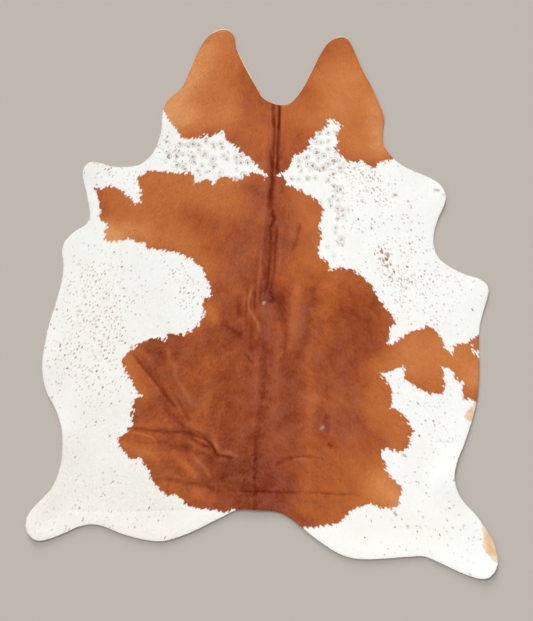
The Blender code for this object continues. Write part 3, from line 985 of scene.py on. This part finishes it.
def hair_material(name, bumpy):
    """Short lying hair. Its colour is worked out for the place that each vertex carries."""
    s = Shader(name)
    place, flow = s.attribute("place", "Vector"), s.attribute("flow", "Vector")
    colour, strands = pigment(s, place, flow, s.attribute("own") - 0.5)
    sockets = {"Base_Color": colour, "Roughness": 0.60 + strands * 0.5,
               "Specular_IOR_Level": 0.12, "Sheen_Weight": 0.03, "Sheen_Roughness": 0.4}
    if bumpy:
        sockets["Normal"] = s.bump(strands, STREAK_RELIEF)
    return s.finish(**sockets)


def suede_material():
    """The bare flesh side and the cut edge: pale, napped, a little uneven."""
    s = Shader("suede")
    place = s.value("Position", "ShaderNodeNewGeometry")
    tone = 0.5 + s.noise(place, 5, 4.0, 0.6) + s.noise(place, 260, 3.0) * 0.6
    nap = s.noise(place, 900, 3.0, 0.7) + s.noise(place, 60, 3.0, 0.6)
    return s.finish(Base_Color=s.ramp(tone, SUEDE_RAMP), Roughness=0.92, Specular_IOR_Level=0.2,
                    Sheen_Weight=0.2, Sheen_Roughness=0.5, Normal=s.bump(nap, NAP_RELIEF))


# ---- the hide

class Hide:
    """The outline and the maps that every piece is made from."""

    def __init__(self):
        rough = cut_edge(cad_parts["hide"])
        self.edge = spline(rough, closed=True, substeps=4)
        self.low, self.high = rough.min(axis=0), rough.max(axis=0)
        self.area = abs(np.cross(self.edge, np.roll(self.edge, -1, axis=0)).sum()) / 2

        self.marks = Grid(self.low, self.high, MARK_STEP)
        points = self.marks.points
        self.room = depth_inside(points, rough)
        self.bare = round_lifts(points, BARE_EDGES)
        self.pigment = {
            "brown": np.minimum(patch_depth(points, *BROWN), -patch_depth(points, SLIVER)),
            "tan": np.max([patch_depth(points, mark) for mark in PALE_MARKS], axis=0),
            # painted sheen in the brown
            "painted_sheen": spread(points, PAINTED_SHEEN_ROWS),
            "scar": spread(points, SCARS),
            "spot": spread(points, SPOTS),
            "speck": np.clip(spread(points, SPECKLED), FEWEST_SPECKS, MOST_SPECKS),
            "ring": spread(points, RINGED),
            "cream": spread(points, CREAM),
            "tone": BASE_SHADE + spread(points, SHADES),
        }

        self.heights = Grid(self.low, self.high, HEIGHT_STEP)
        points = self.heights.points
        room = self.marks.read(self.room, points)
        body = smooth_step(room / THINNING_REACH)
        self.depth = RIM_THICKNESS + (BACK_THICKNESS - RIM_THICKNESS) * body
        folds, creases = relief(points, FOLDS), relief(points, CREASES)
        self.wrinkles = relief(points, WRINKLES, WRINKLE_END)
        rise = np.clip(WRINKLE_RISE * self.wrinkles, -WRINKLE_LIMIT, WRINKLE_LIMIT)
        hind = smooth_step((points[:, 1] - CURL_FROM_Y) / (CURL_FULL_Y - CURL_FROM_Y))
        curl = RIM_CURL * hind * (1 - smooth_step(room / CURL_REACH))
        self.gap = np.maximum(MM * folds, round_lifts(points, EDGE_LIFTS)) + curl
        self.top = self.gap + np.maximum(self.depth + MM * creases + rise, THINNEST)
        # painted shade in creases and grooves and painted light on folds and ridges, added to the
        # tone
        self.painted_relief_shading = self.wrinkles + CREASE_PAINTED_SHADE * creases + FOLD_PAINTED_LIGHT * folds

    def near_wrinkles(self, points):
        return self.heights.read(np.abs(self.wrinkles), points) > WRINKLE_TONE

    def coat_room(self, points):
        """How far inside the coat's edge each point lies."""
        return self.marks.read(self.room - self.bare, points)

    def attributes(self, places, own):
        """What the hair shader reads, for the place that each vertex takes its pigment from."""
        values = {name: self.marks.read(marks, places) for name, marks in self.pigment.items()}
        # the relief's painted shade and light change the tone and add painted sheen on the ridges
        painted_relief_shading = self.heights.read(self.painted_relief_shading, places)
        values["tone"] += painted_relief_shading
        values["painted_sheen"] += SHEEN_ON_RIDGES * painted_relief_shading
        values["place"] = np.column_stack((places, np.zeros(len(places))))
        values["flow"] = across_and_along(places)
        values["own"] = own
        return values


def make_skin(hide):
    """The tanned leather: a closed sheet with a rounded cut edge, under the coat."""
    ring = resample_ring(hide.edge, SKIN_STEP / 2)
    inner = even_grid(hide.low, hide.high, SKIN_STEP)
    flat, faces = triangulate(ring, inner[inside(inner, inset_ring(ring, SKIN_STEP / 2))])
    count, total = len(ring), len(flat)
    gap = hide.heights.read(hide.gap, flat)
    leather = LEATHER_SHARE * hide.heights.read(hide.depth, flat)
    lower, upper = flat.copy(), flat.copy()
    lower[:count] = inset_ring(ring, LOWER_INSET)
    upper[:count] = inset_ring(ring, UPPER_INSET)
    verts = np.vstack((
        np.column_stack((lower, gap)),
        np.column_stack((upper, gap + leather)),
        np.column_stack((ring, gap[:count] + 0.5 * leather[:count])),
    ))
    i = np.arange(count)
    j = (i + 1) % count
    edge_i, edge_j = i + 2 * total, j + 2 * total
    walls = np.vstack((
        np.column_stack((i, edge_i, j)),
        np.column_stack((j, edge_i, edge_j)),
        np.column_stack((edge_i, i + total, edge_j)),
        np.column_stack((edge_j, i + total, j + total)),
    ))
    return new_piece("hide_skin", verts, (faces[:, ::-1], faces + total, walls),
                     suede_material())


def make_coat(hide, material):
    """The lying coat: a fine sheet over the leather that turns down at the cut edge."""
    ring = resample_ring(hide.edge, COAT_STEP)
    bare = hide.marks.read(hide.bare, ring)[:, None]
    ring = inset_ring(ring, COAT_INSET + bare)
    coarse = even_grid(hide.low, hide.high, COAT_STEP)
    fine = even_grid(hide.low, hide.high, COAT_STEP * FINER)
    inner = np.vstack((coarse[~hide.near_wrinkles(coarse)], fine[hide.near_wrinkles(fine)]))
    inner = inner[hide.coat_room(inner) > COAT_STEP * RING_ROOM]
    flat, faces = triangulate(ring, inner)
    count, total = len(ring), len(flat)
    height = hide.heights.read(hide.top, flat)
    height[:count] -= EDGE_DROP
    hem = np.column_stack((inset_ring(ring, HEM_INSET), height[:count] - 0.5 * EDGE_DROP))
    i = np.arange(count)
    j = (i + 1) % count
    walls = np.column_stack((i + total, i, j, j + total))
    coat = new_piece("hair_coat", np.vstack((np.column_stack((flat, height)), hem)),
                     (faces, walls[:, ::-1]), material)
    places = np.vstack((flat, ring))
    set_attributes(coat, hide.attributes(places, np.full(len(places), 0.5)))
    set_flat_map(coat, hide.low, hide.high)
    return coat


def lock_roots(hide, rng):
    """Evenly scattered roots over the hide, a little jittered."""
    step = math.sqrt(hide.area / LOCKS * 2 / math.sqrt(3))
    roots = even_grid(hide.low, hide.high, step)
    roots += rng.uniform(-JITTER, JITTER, roots.shape) * step
    return roots[hide.coat_room(roots) > ROOT_MARGIN]


def make_locks(hide, material):
    """Thousands of short flat locks that lie along the hair, in four meshes."""
    rng = np.random.default_rng(SEED)
    roots = lock_roots(hide, rng)
    count = len(roots)
    angle = hair_angle(roots) + rng.normal(0, STRAY, count)
    length = LOCK_LENGTH * rng.uniform(*LENGTH_RANGE, count)
    border = np.exp(-(hide.pigment["brown"] / BORDER_REACH) ** 2)
    dark = hide.pigment["ring"] + 1.5 * hide.pigment["speck"] + border
    length *= 1 - SHORTER * np.clip(hide.marks.read(dark, roots), 0, 1)
    ahead = np.column_stack((np.sin(angle), -np.cos(angle)))
    overhang = -hide.marks.read(hide.room, roots + ahead * length[:, None])
    length = np.clip(length - np.maximum(overhang - OVERHANG, 0), SHORTEST_LOCK, None)
    across = np.column_stack((-ahead[:, 1], ahead[:, 0]))
    half_width = LOCK_WIDTH * rng.uniform(*WIDTH_RANGE, count) / 2
    bend = rng.normal(0, BEND, count)
    roll = rng.normal(0, ROLL, count)

    def along(share, sideways=0.0):
        return roots + ahead * (length * share)[:, None] + across * (bend * sideways)[:, None]

    def surface(place):
        return hide.heights.read(hide.top, place)

    def corner(place, height, side=0.0):
        shift = across * (side * half_width)[:, None]
        return np.column_stack((place + shift, height + side * half_width * roll))

    middle, tip = along(MIDDLE_SHARE, 1.0), along(1.0, TIP_BEND)
    droop = DROOP * np.clip(-hide.marks.read(hide.room, tip), 0, DROOP_LIMIT)
    root_z = surface(roots) - ROOT_DEPTH
    middle_z = surface(middle) + rng.uniform(*MIDDLE_RISE, count)
    tip_z = surface(tip) + rng.uniform(*TIP_RISE, count) - droop
    verts = np.stack((corner(roots, root_z), corner(middle, middle_z, 1.0),
                      corner(middle, middle_z, -1.0), corner(tip, tip_z)), axis=1)
    places = along(PIGMENT_SHARE)
    own = rng.uniform(0, 1, count)

    pieces = []
    quarters = np.array_split(np.argsort(-roots[:, 1]), 4)
    for name, chosen in zip(("neck", "ribs", "loin", "rump"), quarters):
        first = 4 * np.arange(len(chosen))[:, None]
        faces = np.vstack((first + np.array((0, 1, 2)), first + np.array((1, 3, 2))))
        piece = new_piece(f"hair_locks_{name}", verts[chosen].reshape(-1, 3), (faces,), material)
        values = hide.attributes(places[chosen], own[chosen])
        set_attributes(piece, {key: np.repeat(value, 4, axis=0) for key, value in values.items()})
        set_flat_map(piece, hide.low, hide.high)
        pieces.append(piece)
    return pieces


# ---- studio

PHOTO_LONG_SIDE = 2.484  # what the picture's long side covers on the floor
PHOTO_CENTRE = (0.019, -0.026)
LENS_MM = 85
SENSOR_MM = 36
# name, compass (0 is the neck's side, 90 the right), elevation and spread in degrees, W per m2
LAMPS = (
    ("key", -14, 42, 26, 1.60),
    ("low key", -9, 13, 14, 3.10),
    ("left fill", -80, 24, 40, 0.80),
)
LAMP_DISTANCE = 5
AMBIENT = 0.42
FLOOR_HALF = 60.0  # half a side, so long that no view shows the floor's end
FLOOR_Z = -0.0003


def make_lamp(name, compass, elevation, spread_angle, strength):
    lamp = bpy.data.lights.new(name, "SUN")
    lamp.energy = strength
    lamp.angle = math.radians(spread_angle)
    compass, elevation = math.radians(compass), math.radians(elevation)
    toward = Vector((math.sin(compass) * math.cos(elevation),
                     math.cos(compass) * math.cos(elevation), math.sin(elevation)))
    obj = link(bpy.data.objects.new(name, lamp))
    obj.location = toward * LAMP_DISTANCE
    obj.rotation_euler = toward.to_track_quat("Z", "Y").to_euler()


def make_studio():
    paper = Shader("floor_paper").finish(
        Base_Color=FLOOR_PAPER, Roughness=0.95, Specular_IOR_Level=0.1)
    corners = np.array([(x * FLOOR_HALF, y * FLOOR_HALF, FLOOR_Z)
                        for x, y in ((-1, -1), (1, -1), (1, 1), (-1, 1))])
    new_piece("floor", corners, (np.array([(0, 1, 2, 3)]),), paper)
    for lamp in LAMPS:
        make_lamp(*lamp)

    scene = bpy.context.scene
    scene.world = bpy.data.worlds.new("studio")
    scene.world.use_nodes = True
    background = scene.world.node_tree.nodes["Background"].inputs
    background["Color"].default_value = (1, 1, 1, 1)
    background["Strength"].default_value = AMBIENT

    camera = bpy.data.cameras.new("camera")
    camera.lens = LENS_MM
    camera.sensor_width = SENSOR_MM
    scene.camera = link(bpy.data.objects.new("camera", camera))
    scene.camera.location = (*PHOTO_CENTRE, PHOTO_LONG_SIDE * LENS_MM / SENSOR_MM)
    scene.view_settings.view_transform = "Standard"


# ---- everything together

def build():
    hide = Hide()
    skin = make_skin(hide)
    hair = [make_coat(hide, hair_material("hair_coat", bumpy=True))]
    hair += make_locks(hide, hair_material("hair_locks", bumpy=False))
    for piece in [skin] + hair:
        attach(piece, "root")
    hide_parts("hide")
    make_studio()


build()
